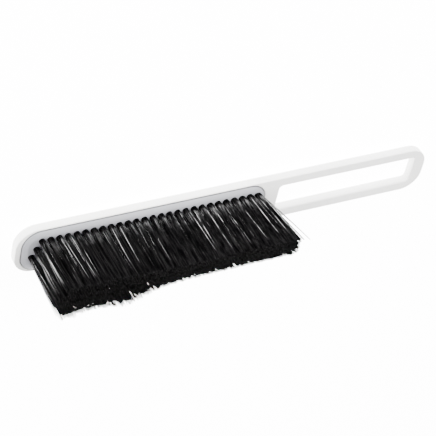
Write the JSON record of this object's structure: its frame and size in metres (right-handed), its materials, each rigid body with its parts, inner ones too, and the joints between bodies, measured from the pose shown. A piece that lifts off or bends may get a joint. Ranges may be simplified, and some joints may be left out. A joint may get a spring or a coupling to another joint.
{
  "type": "hand brush",
  "caption": "Flat loop-handled hand brush: a finger-slotted bar holds a tuft block of long dark filament tufts, for sweeping bees or crumbs.",
  "frame": {"origin": "middle of the footprint, on the flat back the brush lies on", "axes": "+X along the brush from the head end to the loop end, +Z out of the flat back along the bristles, Y across the brush"},
  "size_m": [0.35, 0.042, 0.0622],
  "materials": {
    "white_plastic": "smooth moulded, satin",
    "grey_plastic": "smooth moulded, satin",
    "bristle": "glossy extruded filament",
    "staple_steel": "drawn wire"
  },
  "bodies": {
    "root": {"anchor_staples_row_1": "staple_steel", "anchor_staples_row_2": "staple_steel", "anchor_staples_row_3": "staple_steel", "anchor_staples_row_4": "staple_steel", "handle_body": "white_plastic", "tuft_block": "grey_plastic", "tuft_rank_01": "bristle", "tuft_rank_02": "bristle", "tuft_rank_03": "bristle", "tuft_rank_04": "bristle", "tuft_rank_05": "bristle", "tuft_rank_06": "bristle", "tuft_rank_07": "bristle", "tuft_rank_08": "bristle", "tuft_rank_09": "bristle", "tuft_rank_10": "bristle", "tuft_rank_11": "bristle", "tuft_rank_12": "bristle", "tuft_rank_13": "bristle", "tuft_rank_14": "bristle", "tuft_rank_15": "bristle", "tuft_rank_16": "bristle", "tuft_rank_17": "bristle", "tuft_rank_18": "bristle", "tuft_rank_19": "bristle", "tuft_rank_20": "bristle", "tuft_rank_21": "bristle", "tuft_rank_22": "bristle", "tuft_rank_23": "bristle", "tuft_rank_24": "bristle", "tuft_rank_25": "bristle", "tuft_rank_26": "bristle", "tuft_rank_27": "bristle", "tuft_rank_28": "bristle"}
  },
  "joints": []
}
